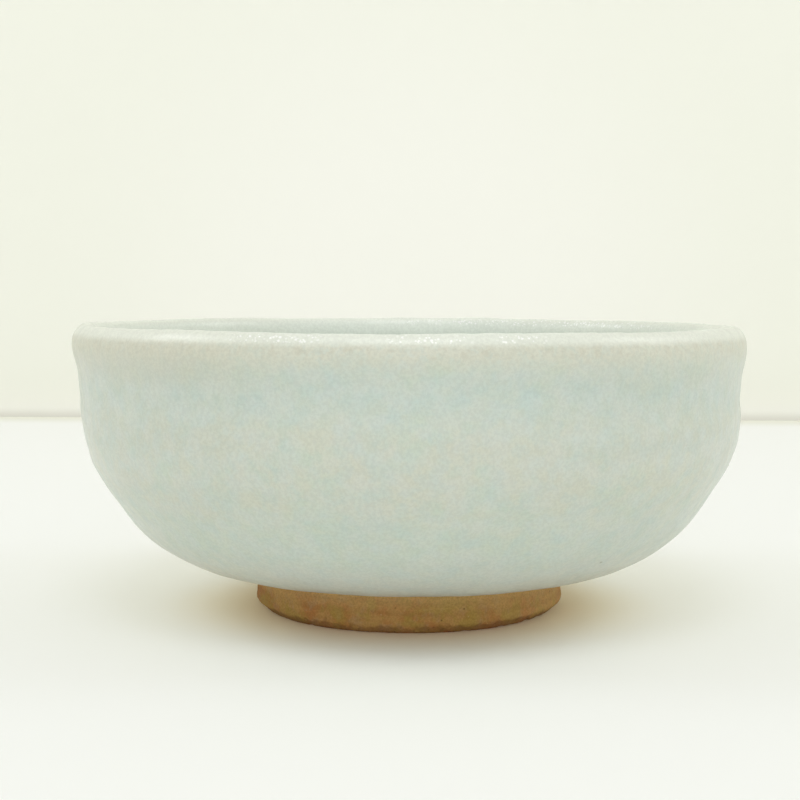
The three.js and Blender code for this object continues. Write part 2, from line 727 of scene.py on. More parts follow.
@dataclass(frozen=True)
class Pits(Effect):
    """Scattered round spots: pinholes, specks of iron, grains of sand and painted highlights."""

    spacing: float
    radius: float
    share: float
    title: ClassVar[str] = "Pits"
    smallest: ClassVar[float] = 0.4
    core: ClassVar[float] = 0.4

    def lay(self, group: GroupBench) -> None:
        """Lays one spot of its own size in each chosen cell.

        Args:
            group: The bench of its group.
        """
        spacing, radius, share = group.numbers
        scale = group.math("DIVIDE", 1.0, spacing)
        cells = group.add("ShaderNodeTexVoronoi", {"Vector": group.place, "Scale": scale}).outputs
        away = group.times(cells["Distance"], spacing)
        draw = group.add("ShaderNodeSeparateColor", {0: cells["Color"]}).outputs
        chosen = group.math("LESS_THAN", draw[0], share)
        size = group.times(radius, group.math("ADD", draw[1], self.smallest))
        spot = group.spread(away, group.times(size, self.core), size, 1.0, 0.0)
        mask = group.times(spot, chosen)
        group.put_out(mask, group.times(mask, -1.0))


@dataclass(frozen=True)
class TurnedLines(Effect):
    """Lines left by turning, which climb one pitch a turn, up a wall or across a flat face."""

    pitch: float
    across: float
    wander: float
    title: ClassVar[str] = "Turned lines"
    drift_size: ClassVar[float] = 1 / 0.06
    break_size: ClassVar[float] = 1 / 0.12
    break_cut: ClassVar[Span] = (0.38, 0.62)
    faintest: ClassVar[float] = 0.25

    def lay(self, group: GroupBench) -> None:
        """Lays a wave that drifts and breaks off here and there.

        Args:
            group: The bench of its group.
        """
        pitch, across, wander = group.numbers
        x, y, z = group.parts(group.place)
        run = group.math("DIVIDE", group.math("MULTIPLY_ADD", group.hypot(x, y), across, z), pitch)
        turn = group.math("DIVIDE", group.math("ARCTAN2", y, x), TURN)
        drift = group.times(group.cloud(self.drift_size, detail=3.0), wander)
        count = group.math("ADD", run, group.math("ADD", turn, drift))
        wave = group.math("SINE", group.times(count, TURN))
        breaks = group.cloud(self.break_size, detail=2.0)
        height = group.times(wave, group.spread(breaks, *self.break_cut, self.faintest, 1.0))
        group.put_out(group.math("MULTIPLY_ADD", height, 0.5, 0.5), height)


@dataclass(frozen=True)
class Run(Mark):
    """A soft step along one axis of the piece, or to both sides of its middle, in millimetres."""

    axis: str
    near: float
    far: float
    both: bool = False

    def mask(self, bench: FinishBench) -> Socket:
        """0 up to near, and 1 from far on."""
        at = bench.parts(bench.in_mm(bench.place))[self.axis]
        return bench.spread(bench.math("ABSOLUTE", at) if self.both else at, self.near, self.far)


@dataclass(frozen=True)
class BehindCrest(Mark):
    """The side of the lip that looks inward, by the radius of its crest, in millimetres."""

    crest: Span = (66.8, 67.9)
    shift: float = 0.5
    above: Span = (52.0, 54.0)

    def mask(self, bench: FinishBench) -> Socket:
        """The inner side of the lip.

        Args:
            bench: The bench of the finish.

        Returns:
            1 from the crest inward, high on the wall.
        """
        x, y, z = bench.parts(bench.in_mm(bench.place))
        radius = bench.hypot(bench.math("ADD", x, self.shift), y)
        return bench.times(bench.spread(radius, *self.crest, 1.0, 0.0), bench.spread(z, *self.above))


@dataclass(frozen=True)
class AllBut(Mark):
    """Everything that another mark leaves out."""

    other: Mark

    def mask(self, bench: FinishBench) -> Socket:
        """The other mask, reversed."""
        return bench.math("SUBTRACT", 1.0, bench.mask(self.other))


@dataclass(frozen=True)
class Ragged(Mark):
    """Patches that thin a wash out between two levels and never break it."""

    patches: Patches
    low: float
    high: float

    def mask(self, bench: FinishBench) -> Socket:
        """The patches, held within the levels."""
        return bench.levels(bench.mask(self.patches), self.low, self.high)


@dataclass(frozen=True)
class LipBand(Mark):
    """A level band that starts higher on the inner side of the lip."""

    band: Band
    inner_side: BehindCrest
    lift: float

    def mask(self, bench: FinishBench) -> Socket:
        """The band, laid on a place that is sunk by the lift on the inner side.

        Args:
            bench: The bench of the finish.

        Returns:
            The mask.
        """
        drop = bench.times(bench.mask(self.inner_side), -self.lift * MM)
        down = bench.add("ShaderNodeCombineXYZ", {2: drop}).outputs[0]
        return self.band.placed(bench, bench.vector("ADD", {0: bench.place, 1: down})[0])["Mask"]


@dataclass(frozen=True)
class PaintedGlints(Mark):
    """Painted highlights: small light spots that gather at a few bearings, each a middle and a reach in
    degrees.
    """

    spots: Pits
    band: Band
    bearings: tuple[Span, ...]

    def mask(self, bench: FinishBench) -> Socket:
        """The spots, kept to the band and to the bearings.

        Args:
            bench: The bench of the finish.

        Returns:
            The mask.
        """
        x, y, _ = bench.parts(bench.place)
        bearing = bench.math("DEGREES", bench.math("ARCTAN2", y, x))
        gathered = 0.0
        for middle, reach in self.bearings:
            away = bench.math("ABSOLUTE", bench.math("SUBTRACT", bearing, middle))
            gathered = bench.math("MAXIMUM", gathered, bench.spread(away, 0.5 * reach, reach, 1.0, 0.0))
        return bench.times(bench.mask(self.spots), bench.times(bench.mask(self.band), gathered))


@dataclass(frozen=True)
class Wash:
    """A colour laid over those before it where all its marks meet, on one kind of surface or on any."""

    colour: Colour
    strength: float
    marks: tuple[Mark, ...]
    only: Optional[Enum] = None


class FinishBench(Bench):
    """A bench on a new material with one Principled shader."""

    def __init__(self, name: str, **sockets: Value) -> None:
        """Starts the material.

        Args:
            name: The material's name.
            **sockets: Plain values for the shader's sockets, with _ for each space.
        """
        self.material = bpy.data.materials.new(name)
        self.material.use_nodes = True
        super().__init__(self.material.node_tree)
        self.tree.nodes.clear()
        self.masks: dict[Mark, Socket] = {}
        self.shader = self.add("ShaderNodeBsdfPrincipled", {})
        self.add("ShaderNodeOutputMaterial", {"Surface": self.shader.outputs[0]})
        self.place = self.add("ShaderNodeTexCoord", {}).outputs["Object"]
        self.finished(**sockets)

    def finished(self, **sockets: Value) -> bpy.types.Material:
        """Feeds sockets of the shader.

        Args:
            **sockets: What feeds them, named with _ for each space.

        Returns:
            The material.
        """
        for title, value in sockets.items():
            self.feed(self.shader.inputs[title.replace("_", " ")], value)
        return self.material

    def mask(self, mark: Mark) -> Socket:
        """Lays a mark's mask, once however often it is asked for.

        Args:
            mark: The mark.

        Returns:
            Its mask.
        """
        if mark not in self.masks:
            self.masks[mark] = mark.mask(self)
        return self.masks[mark]

    def height(self, effect: Effect) -> Socket:
        """The height that goes with an effect's mask."""
        return self.mask(effect).node.outputs["Height"]

    def washed(self, colour: Value, washes: Sequence[Wash], kind: Enum) -> Value:
        """Lays washes over a colour.

        Args:
            colour: The colour to start from.
            washes: The washes, from the first to the last.
            kind: Which kind of surface this is.

        Returns:
            The colour under all its washes.
        """
        for wash in washes:
            if wash.only in (None, kind):
                share = self.mask(wash.marks[0])
                for more in (*map(self.mask, wash.marks[1:]), wash.strength):
                    share = self.times(share, more)
                colour = self.mix(share, colour, wash.colour)
        return colour

    def bumps(self, height: Socket, depth: float) -> Socket:
        """The normals of a surface with this height, a unit of which is a depth in millimetres."""
        inputs = {"Height": height, "Distance": depth * MM, "Strength": 1.0}
        return self.add("ShaderNodeBump", inputs).outputs[0]


class CoatSide(Enum):
    """Which coat of glaze a finish is for, by its slot."""

    OUTER = "outer_celadon"
    INNER = "inner_celadon"


@dataclass(frozen=True)
class CeladonFinish:
    """Satin milky celadon: a pale grey green with cooler and warmer patches, cream on the lip, and painted
    shade, reflection and highlights.
    """

    kind: CoatSide
    glaze: Colour = paint(201, 210, 198)
    cool: Colour = paint(192, 208, 200)
    cooler: Colour = paint(190, 208, 206)
    green: Colour = paint(197, 210, 192)
    milk: Colour = paint(209, 214, 208)
    warm: Colour = paint(208, 209, 193)
    grey: Colour = paint(212, 213, 204)
    flank: Colour = paint(186, 195, 181)
    cream: Colour = paint(226, 230, 218)
    pale: Colour = paint(231, 236, 226)
    thin: Colour = paint(210, 211, 195)
    # Darker patches below the lip, and painted shade on the sides.
    scumble: Colour = paint(200, 198, 180)
    foot_line: Colour = paint(200, 197, 182)
    pinhole: Colour = paint(150, 150, 128)
    glint: Colour = paint(253, 254, 250)
    middling: Patches = Patches(5.5, 0.42, 0.62, 31.0)
    small: Patches = Patches(3.0, 0.38, 0.62, 57.0)
    neck: Band = Band(45.0, 51.6, 2.4, 2.2, 9.0)
    high: Band = Band(50.0, 70.0, 2.5, 1.5, 9.0)
    # Both sides of the bowl, where shade is painted.
    flanks: Run = Run("X", 12.0, 42.0, both=True)
    inner_side: BehindCrest = BehindCrest()
    outer_side: AllBut = AllBut(inner_side)
    thin_band: Band = Band(54.0, 60.0, 2.2, 0.5, 5.0)
    ragged: Ragged = Ragged(Patches(1.5, 0.34, 0.6, 7.0), 0.5, 0.95)
    near_lip: Band = Band(55.6, 58.0, 0.9, 0.4, 2.5)
    cream_band: LipBand = LipBand(Band(57.55, 70.0, 0.75, 0.16, 3.0), inner_side, 1.2)
    glints: PaintedGlints = PaintedGlints(
        Pits(0.55, 0.29, 0.7),
        Band(57.9, 59.2, 0.3, 0.15, 3.0),
        ((-87.5, 7.5), (-74.0, 4.5), (-110.0, 9.0), (60.0, 40.0)),
    )
    washes: tuple[Wash, ...] = (
        Wash(green, 0.55, (Patches(13.0, 0.42, 0.6),)),
        Wash(cool, 0.4, (middling,)),
        Wash(cool, 0.45, (neck,), CoatSide.OUTER),
        Wash(cooler, 0.45, (neck, Patches(7.0, 0.45, 0.62, 83.0)), CoatSide.OUTER),
        Wash(warm, 0.7, (Band(26.0, 44.0, 3.0, 3.0, 11.0), Patches(6.0, 0.36, 0.56, 19.0)), CoatSide.OUTER),
        # Painted shade on the neck at both sides.
        Wash(flank, 0.42, (Band(37.0, 51.0, 3.0, 2.5, 9.0), flanks), CoatSide.OUTER),
        # Painted reflection of the warm floor: greyer and lighter low on the belly.
        Wash(grey, 0.7, (Band(-5.0, 16.0, 4.0, 1.5, 9.0),), CoatSide.OUTER),
        # Darker along the glaze's edge by the foot: thinner glaze there, and painted contact shade.
        Wash(foot_line, 0.38, (Band(-5.0, 10.6, 1.0, 0.6, 6.0),), CoatSide.OUTER),
        Wash(cool, 0.55, (Band(-5.0, 52.0, 2.5, 1.5, 9.0),), CoatSide.INNER),
        Wash(cooler, 0.5, (Band(-5.0, 19.0, 3.0, 1.0, 12.0),), CoatSide.INNER),
        # Paler up the inside of the lip: paler glaze, partly painted light where the top light falls.
        Wash(pale, 0.8, (Band(52.5, 70.0, 3.0, 0.8, 8.0),), CoatSide.INNER),
        Wash(warm, 0.28, (small,)),
        Wash(cooler, 0.27, (Patches(3.0, 0.44, 0.62, 71.0),)),
        Wash(milk, 0.32, (Patches(3.8, 0.42, 0.6, 97.0),)),
        Wash(thin, 1.0, (thin_band, outer_side, ragged), CoatSide.OUTER),
        Wash(scumble, 0.55, (near_lip, outer_side, Patches(1.7, 0.46, 0.62, 13.0)), CoatSide.OUTER),
        # Painted shade high on the left side.
        Wash(scumble, 0.35, (high, Run("X", -20.0, -45.0)), CoatSide.OUTER),
        # Paler on the inner face of the lip: paler glaze, partly painted light.
        Wash(pale, 0.9, (inner_side,), CoatSide.OUTER),
        Wash(cream, 1.0, (cream_band,)),
        # Painted shade high on both sides, laid over the cream too.
        Wash(scumble, 0.17, (high, flanks), CoatSide.OUTER),
        # Painted highlights: near-white spots on the shoulder of the lip.
        Wash(glint, 1.0, (glints,)),
    )
    grain: Grain = Grain(0.6)
    grain_shades: Span = (0.955, 1.035)
    pinholes: Pits = Pits(7.0, 0.38, 0.16)
    holes: Wash = Wash(pinhole, 0.7, (pinholes,))
    dullness: Span = (0.36, 0.44)
    duller_where_thin: float = 0.1
    duller_on_cream: float = -0.08
    duller_on_glints: float = -0.15
    gloss: Span = (0.45, 0.28)
    gloss_dullness: float = 0.2
    peel: Grain = Grain(1.6)
    bump_depth: float = 0.06
    grain_rise: float = 0.4
    peel_rise: float = 0.9
    pinhole_rise: float = 1.6
    glint_rise: float = 0.5

    def material(self) -> bpy.types.Material:
        """Builds the finish.

        Returns:
            The material.
        """
        bench = FinishBench(self.kind.value, Coat_Roughness=self.gloss_dullness)
        colour = bench.washed(self.glaze, self.washes, self.kind)
        shade = bench.levels(bench.mask(self.grain), *self.grain_shades)
        shades = bench.add("ShaderNodeCombineXYZ", {0: shade, 1: shade, 2: shade}).outputs[0]
        colour = bench.mix(1.0, colour, shades, "MULTIPLY")
        thin = bench.times(bench.mask(self.thin_band), bench.mask(self.outer_side))
        glints = bench.mask(self.glints)
        rough = bench.heaped(
            bench.levels(bench.mask(self.middling), *self.dullness),
            (thin, self.duller_where_thin),
            (bench.mask(self.cream_band), self.duller_on_cream),
            (glints, self.duller_on_glints),
        )
        height = bench.heaped(
            bench.times(bench.height(self.grain), self.grain_rise),
            (bench.height(self.peel), self.peel_rise),
            (bench.height(self.pinholes), self.pinhole_rise),
            (glints, self.glint_rise),
        )
        return bench.finished(
            Base_Color=bench.washed(colour, (self.holes,), self.kind),
            Roughness=rough,
            Coat_Weight=bench.levels(bench.mask(self.small), *self.gloss),
            Normal=bench.bumps(height, self.bump_depth),
        )


class ClayPlace(Enum):
    """Which bare clay a finish is for, by its slot."""

    FOOT = "bare_foot_clay"
    BODY = "fired_clay"


@dataclass(frozen=True)
class BareClayFinish:
    """Matt bare stoneware: ochre brown, mottled, sandy, and darker where it stands, with painted light on the
    upper part of the foot.
    """

    kind: ClayPlace
    ochre: Colour = paint(203, 160, 95)
    rust: Colour = paint(195, 135, 78)
    dun: Colour = paint(192, 158, 114)
    olive: Colour = paint(184, 158, 78)
    burnt: Colour = paint(124, 84, 50)
    speck: Colour = paint(84, 58, 38)
    sandy: Colour = paint(222, 196, 146)
    washed: Colour = paint(246, 206, 138)
    grain: Grain = Grain(0.4)
    coarse: Grain = Grain(1.1)
    lines_up: TurnedLines = TurnedLines(1.9, 0.0, 0.8)
    lines_across: TurnedLines = TurnedLines(1.9, 1.0, 0.8)
    iron: Pits = Pits(1.5, 0.2, 0.2)
    sand: Pits = Pits(1.15, 0.2, 0.25)
    washes: tuple[Wash, ...] = (
        Wash(rust, 0.95, (Patches(7.0, 0.42, 0.6),)),
        Wash(dun, 0.6, (Patches(2.4, 0.48, 0.66, 23.0),)),
        Wash(olive, 0.7, (Patches(5.0, 0.46, 0.62, 47.0),)),
        # Painted light: the foot paler towards its top.
        Wash(washed, 0.8, (Run("Z", 3.2, 9.0),), ClayPlace.FOOT),
        Wash(washed, 0.22, (Run("X", 12.0, 28.0),), ClayPlace.FOOT),
        Wash(burnt, 0.3, (grain,)),
        Wash(burnt, 0.12, (lines_up,), ClayPlace.FOOT),
        Wash(burnt, 0.12, (lines_across,), ClayPlace.BODY),
        Wash(burnt, 0.5, (Band(-5.0, 1.3, 0.5, 1.1, 1.8),), ClayPlace.FOOT),
        Wash(speck, 0.5, (Band(-5.0, 0.9, 0.5, 0.4, 1.6), Pits(0.6, 0.3, 0.4)), ClayPlace.FOOT),
        Wash(speck, 0.6, (iron,)),
        Wash(sandy, 0.5, (sand,)),
    )
    specular: float = 0.3
    dullness: Span = (0.82, 0.96)
    bump_depth: float = 0.12
    coarse_rise: float = 1.2
    line_rise: float = 0.25
    sand_rise: float = 0.5
    iron_rise: float = 0.5

    def material(self) -> bpy.types.Material:
        """Builds the finish.

        Returns:
            The material.
        """
        bench = FinishBench(self.kind.value, Specular_IOR_Level=self.specular)
        lines = self.lines_up if self.kind is ClayPlace.FOOT else self.lines_across
        colour = bench.washed(self.ochre, self.washes, self.kind)
        height = bench.heaped(
            bench.height(self.grain),
            (bench.height(self.coarse), self.coarse_rise),
            (bench.height(lines), self.line_rise),
            (bench.mask(self.sand), self.sand_rise),
            (bench.height(self.iron), self.iron_rise),
        )
        return bench.finished(
            Base_Color=colour,
            Roughness=bench.levels(bench.mask(self.grain), *self.dullness),
            Normal=bench.bumps(height, self.bump_depth),
        )


def hand_over(piece: bpy.types.Object, node: str, finish: Union[CeladonFinish, BareClayFinish]) -> None:
    """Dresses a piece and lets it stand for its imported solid.

    Args:
        piece: The finished mesh.
        node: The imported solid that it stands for.
        finish: Its finish, whose kind names its slot in the record.
    """
    piece.data.materials.append(finish.material())
    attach(piece, BODY)
    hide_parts(node)
    LOG.info("%s stands for %s: %d faces", piece.name, node, len(piece.data.polygons))


@dataclass(frozen=True)
class Touch:
    """One small raised or pressed spot on the outside, in millimetres and degrees."""

    bearing: float
    height: float
    width: float
    length: float
    rise: float

    def at(self, places: np.ndarray) -> np.ndarray:
        """The spot's rise at some places.

        Args:
            places: Points in millimetres on the outer surface.

        Returns:
            The rise along the normal, in millimetres.
        """
        x, y, z = (places[..., axis] for axis in range(3))
        sine, cosine = math.sin(math.radians(self.bearing)), math.cos(math.radians(self.bearing))
        front = x * cosine + y * sine > 0
        side, up = (x * -sine + y * cosine) / self.width, (z - self.height) / self.length
        return front * self.rise * np.exp(-(side**2) - up**2)


@dataclass
class OuterCoat:
    """The glaze outside, over the crown of the lip, with a rolled and uneven edge at the foot."""

    section: BowlSection
    hand: PotterHand
    around: int = 540
    edge_inset: Span = (0.25, 1.3)
    edge_drift: tuple[SoftWaves, ...] = (SoftWaves(21, 26.0, 0.35), SoftWaves(22, 7.0, 0.2))
    edge_run: float = 7.5
    edge_swell: float = 0.16
    swell_run: float = 1.4
    edge_roll: float = 0.38
    roll_steps: int = 6
    hidden_step: int = 4
    touches: tuple[Touch, ...] = (
        Touch(-98.9, 43.0, 0.9, 0.9, 0.22),
        Touch(-96.5, 42.4, 0.7, 0.7, 0.14),
        Touch(-122.0, 38.5, 0.8, 3.2, 0.1),
        Touch(-60.0, 37.0, 1.0, 0.8, -0.12),
    )

    def stopped_short(self, rows: np.ndarray, run: np.ndarray, outward: np.ndarray) -> np.ndarray:
        """Draws the coat's edge back from the foot, by an amount that wanders round the axis.

        Args:
            rows: The coat's points.
            run: The length of the section up to each point.
            outward: The direction away from the axis, all round.

        Returns:
            The points, moved outward near the edge.
        """
        low, high = self.edge_inset
        ring = outward[:, 0] * self.section.foot_radius
        drift = 0.5 + sum(waves.at(ring) for waves in self.edge_drift)
        inset = low + (high - low) * np.clip(drift, 0, 1)
        return rows + outward * inset[:, None, None] * (1 - ease(0, self.edge_run, run))[None, :, None]

    def build(self) -> None:
        """Makes the coat, dresses it and hands it over."""
        line = self.section.outside()
        back = line.thinned(self.hidden_step)
        surface = swept(line.points, self.around)
        rise = self.hand.relief(surface) + sum(touch.at(surface) for touch in self.touches)
        near_edge = np.exp(-((line.along() / self.swell_run) ** 2)) * self.edge_swell
        surface = surface + swept(line.normals, self.around) * (rise + near_edge[None, :])[..., None]
        under = swept(back.sunk(self.section.glaze).points, self.around)
        outward = swept(np.array([[1.0, 0.0]]), self.around)
        surface = self.stopped_short(surface, line.along(), outward)
        under = self.stopped_short(under, back.along(), outward)
        first, last = surface[:, :1], under[:, :1]
        middle, half = (first + last) / 2, (last - first) / 2
        roll = np.linspace(0, math.pi, self.roll_steps + 2)[1:-1][None, :, None]
        cap = middle + half * np.cos(roll) - outward * self.edge_roll * np.sin(roll)
        rows = np.concatenate([surface, under[:, ::-1], cap], axis=1)
        piece = closed_mesh("outer_coat", self.hand.bend(rows), reaches_axis=False)
        hand_over(piece, "outer_glaze", CeladonFinish(CoatSide.OUTER))


@dataclass
class InnerCoat:
    """The glaze inside, from the lip's inner edge to the floor, over the throwing spiral."""

    section: BowlSection
    hand: PotterHand
    around: int = 480
    hidden_step: int = 4
    spiral_pitch: float = 6.4
    spiral_depth: float = 0.16
    spiral_start: Span = (0.0, 5.0)
    spiral_edge: Span = (33.0, 47.0)
    spiral_top: Span = (20.0, 26.0)
    heart_radius: float = 3.4
    heart_depth: float = 0.25

    def floor_marks(self, places: np.ndarray) -> np.ndarray:
        """The rise of the spiral on the floor.

        Args:
            places: Points in millimetres on the inner surface.

        Returns:
            The rise along the normal, in millimetres.
        """
        radius = np.hypot(places[..., 0], places[..., 1])
        angle = np.arctan2(places[..., 1], places[..., 0])
        strength = ease(*self.spiral_start, radius) * (1 - ease(*self.spiral_edge, radius))
        strength = strength * (1 - ease(*self.spiral_top, places[..., 2]))
        spiral = np.sin(TURN * radius / self.spiral_pitch - angle) * self.spiral_depth * strength
        return spiral - self.heart_depth * np.exp(-((radius / self.heart_radius) ** 2))

    def build(self) -> None:
        """Makes the coat, dresses it and hands it over."""
        line = self.section.inside()
        surface = swept(line.points, self.around)
        rise = self.hand.relief(surface) + self.floor_marks(surface)
        surface = surface + swept(line.normals, self.around) * rise[..., None]
        under = swept(line.thinned(self.hidden_step).sunk(self.section.glaze).points, self.around)
        rows = np.concatenate([under[:, ::-1], surface], axis=1)
        piece = closed_mesh("inner_coat", self.hand.bend(rows), reaches_axis=True)
        hand_over(piece, "inner_glaze", CeladonFinish(CoatSide.INNER))


@dataclass
class ClayBody:
    """The thrown wall and floor under the glaze, with the trimmed clay inside the foot."""

    section: BowlSection
    hand: PotterHand
    around: int = 360
    hidden_step: int = 4
    seat_steps: int = 70
    trim_pitch: float = 2.6
    trim_depth: float = 0.07
    dish: float = 0.35
    recess: Span = (20.0, 23.0)
    nub_radius: float = 2.2
    nub_depth: float = 0.5
    grit: SoftWaves = SoftWaves(31, 2.2, 0.03)

    def trimmed(self, places: np.ndarray) -> np.ndarray:
        """How far the clay inside the foot is cut up above the seat.

        Args:
            places: Points in millimetres on the underside.

        Returns:
            The rise in height, in millimetres.
        """
        radius = np.hypot(places[..., 0], places[..., 1])
        angle = np.arctan2(places[..., 1], places[..., 0])
        cut = self.dish + self.trim_depth * np.sin(TURN * radius / self.trim_pitch + angle)
        nub = self.nub_depth * np.exp(-((radius / self.nub_radius) ** 2))
        return (1 - ease(*self.recess, radius)) * (cut + self.grit.at(places) - nub)

    def build(self) -> None:
        """Makes the body, dresses it and hands it over."""
        size = self.section
        outside, inside = (
            line.thinned(self.hidden_step).sunk(size.coat_depth) for line in (size.outside(), size.inside())
        )
        radii = np.linspace(0, size.foot_radius, self.seat_steps + 1)
        seat = swept(np.column_stack([radii, np.full(len(radii), size.foot_height)]), self.around)
        seat[..., 2] += self.trimmed(seat)
        rows = np.concatenate([seat, swept(outside.then(inside).points, self.around)], axis=1)
        piece = closed_mesh("thrown_clay", self.hand.bend(rows), reaches_axis=True)
        hand_over(piece, "clay_body", BareClayFinish(ClayPlace.BODY))


@dataclass
class FootRing:
    """The bare turned ring that the bowl stands on, with worn and slightly chipped edges."""

    section: BowlSection
    shift: float = -0.22
    around: int = 720
    bevel_width: float = 1.5
    bevel_height: float = 1.76
    wall_at_ground: float = 4.7
    wall_at_top: float = 9.0
    inner_bevel: float = 0.6
    flare: float = 0.2
    tuck: float = 0.35
    spacing: float = 0.28
    oval: float = 0.12
    ground_oval: float = 0.4
    ground_oval_start: float = 3.4
    ground_edge: Span = (0.4, 2.6)
    chips: SoftWaves = SoftWaves(42, 3.4)
    chips_above: float = 0.15
    chip_depth: float = 0.2
    turn_pitch: float = 2.3
    turn_depth: float = 0.03
    sand: SoftWaves = SoftWaves(41, 1.3, 0.025)
    below_seat: Span = (1.0, 0.2)

    def outline(self) -> Section:
        """The ring's section, with softened corners.

        Returns:
            A closed line, evenly stepped, that starts at the ground.
        """
        height = self.section.foot_height
        ground_outer = self.section.foot_radius - self.bevel_width
        ground_inner = ground_outer - self.wall_at_ground
        radius = self.section.foot_radius + self.flare
        corners = np.array([
            (ground_outer, 0),
            (radius, self.bevel_height),
            (radius - self.tuck, height * 0.5),
            (radius - self.tuck, height),
            (radius - self.wall_at_top, height),
            (ground_inner - self.inner_bevel, self.inner_bevel),
            (ground_inner, 0),
            (ground_outer, 0),
        ])
        length = Section(corners, corners).along()
        run = np.arange(0, length[-1], self.spacing)
        points = np.column_stack([np.interp(run, length, corners[:, axis]) for axis in range(2)])
        points = (np.roll(points, 1, axis=0) + 2 * points + np.roll(points, -1, axis=0)) / 4
        points[:, 1] -= points[:, 1].min()
        return with_normals(points, np.roll(points, -1, axis=0) - np.roll(points, 1, axis=0))

    def build(self) -> None:
        """Makes the ring, dresses it and hands it over."""
        line = self.outline()
        places = swept(line.points, self.around)
        height = places[..., 2]
        angle = np.arctan2(places[..., 1], places[..., 0])
        seat = self.section.foot_height
        low_edge = 1 - ease(*self.ground_edge, height)
        clear_of_seat = 1 - ease(*(seat - drop for drop in self.below_seat), height)
        turned = self.turn_depth * np.sin(TURN * height / self.turn_pitch + angle)
        chips = -self.chip_depth * np.clip(self.chips.at(places) - self.chips_above, 0, 1) * low_edge
        ground_oval = self.ground_oval * np.cos(2 * angle + self.ground_oval_start) * low_edge
        oval = self.oval * np.cos(2 * angle) + ground_oval
        rise = (turned + self.sand.at(places) + chips + oval) * clear_of_seat
        places = places + swept(line.normals, self.around) * rise[..., None]
        places[..., 0] += self.shift
        places[..., 2] = np.clip(places[..., 2], 0, seat)
        piece = closed_mesh("turned_foot", places, reaches_axis=False)
        hand_over(piece, "foot_ring", BareClayFinish(ClayPlace.FOOT))


